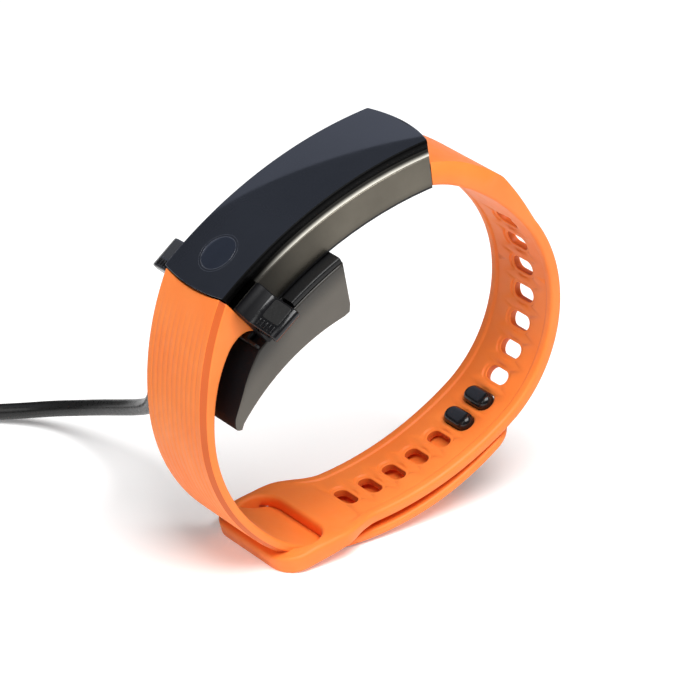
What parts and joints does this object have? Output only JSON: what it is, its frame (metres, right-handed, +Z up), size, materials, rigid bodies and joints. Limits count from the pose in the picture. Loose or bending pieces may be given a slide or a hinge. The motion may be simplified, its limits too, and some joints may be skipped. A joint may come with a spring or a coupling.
{
  "type": "fitness tracker band",
  "caption": "Slim curved fitness tracker on a buckled rubber wrist band, clipped into a charging cradle with its cable.",
  "frame": {"origin": "under the middle of the buckled ring, on the surface that it stands on", "axes": "+Z up, +X from the cradle's side of the ring to the strap's punched side, +Y across the band to the cable's side"},
  "size_m": [0.1202, 0.0979, 0.0665],
  "materials": {
    "glass": "polished, tinted nearly black",
    "display": "gloss",
    "gunmetal": "anodised, satin",
    "bright_metal": "polished chamfer",
    "black_plastic": "satin",
    "gloss_black": "gloss",
    "orange_rubber": "soft matt with fine ribs",
    "cradle_grey": "satin",
    "cord_rubber": "smooth satin",
    "steel": "bright",
    "gold": "gold plated",
    "board": "solder mask",
    "cell": "foil",
    "green_diode": "clear epoxy",
    "dark_diode": "clear epoxy",
    "gasket": "foam"
  },
  "bodies": {
    "cradle": {"cradle_shell": "cradle_grey", "cradle_lid": "black_plastic", "cradle_board": "board", "contact_block": "black_plastic", "pogo_barrel_1": "steel", "pogo_barrel_2": "steel", "near_hinge_pin": "steel", "far_hinge_pin": "steel", "near_latch_spring": "steel", "far_latch_spring": "steel", "strain_relief": "cord_rubber", "cable": "cord_rubber", "cable_coil": "cord_rubber", "plug_grip": "cord_rubber", "plug_shell": "steel", "plug_tongue": "black_plastic", "plug_lead": "cord_rubber"},
    "near_latch_lever": {"near_latch": "gloss_black"},
    "far_latch_lever": {"far_latch": "gloss_black"},
    "pogo_contact_1": {"pogo_pin_1": "gold"},
    "pogo_contact_2": {"pogo_pin_2": "gold"},
    "band": {"glass_lens": "glass", "bezel_trim": "bright_metal", "lens_gasket": "gasket", "housing_frame": "gunmetal", "back_cover": "black_plastic", "sensor_window": "gloss_black", "charge_contact_1": "gold", "charge_contact_2": "gold", "display_module": "display", "touch_pad": "black_plastic", "main_board": "board", "battery": "cell", "green_led_1": "green_diode", "green_led_2": "green_diode", "photodiode": "dark_diode", "motor_can": "steel", "strap_a": "orange_rubber", "strap_b": "orange_rubber"},
    "motor_rotor": {"motor_weight": "steel"},
    "tail": {"strap_tail": "orange_rubber", "pin_plate": "gloss_black", "pin_post_1": "gloss_black", "pin_post_2": "gloss_black"}
  },
  "joints": [
    {"name": "near_latch_hinge", "type": "hinge", "parent": "cradle", "child": "near_latch_lever", "pos_m": [-0.02113, -0.0097, 0.04279], "axis": [0.7804, 0, 0.6252], "range_deg": [0, 12], "stiffness_Nm_per_rad": 0.04, "springref_deg": -5.73},
    {"name": "far_latch_hinge", "type": "hinge", "parent": "cradle", "child": "far_latch_lever", "pos_m": [-0.02113, 0.0097, 0.04279], "axis": [-0.7804, 0, -0.6252], "range_deg": [0, 12], "stiffness_Nm_per_rad": 0.04, "springref_deg": -5.73},
    {"name": "pogo_slide_1", "type": "slide", "parent": "cradle", "child": "pogo_contact_1", "axis": [-0.5225, 0, 0.8526], "range_m": [-0.0008, 0], "stiffness_N_per_m": 400, "springref_m": 0.0004},
    {"name": "pogo_slide_2", "type": "slide", "parent": "cradle", "child": "pogo_contact_2", "axis": [-0.5225, 0, 0.8526], "range_m": [-0.0008, 0], "stiffness_N_per_m": 400, "springref_m": 0.0004},
    {"name": "band_slide", "type": "slide", "parent": "cradle", "child": "band", "axis": [-0.5225, 0, 0.8526], "range_m": [0, 0.012]},
    {"name": "motor_spin", "type": "hinge", "parent": "band", "child": "motor_rotor", "pos_m": [-0.02147, 0, 0.04917], "axis": [0, 1, 0], "continuous": true},
    {"name": "tail_flex", "type": "hinge", "parent": "band", "child": "tail", "pos_m": [0.00338, 0, 0.00177], "axis": [0, 1, 0], "range_deg": [0, 10.5]}
  ]
}
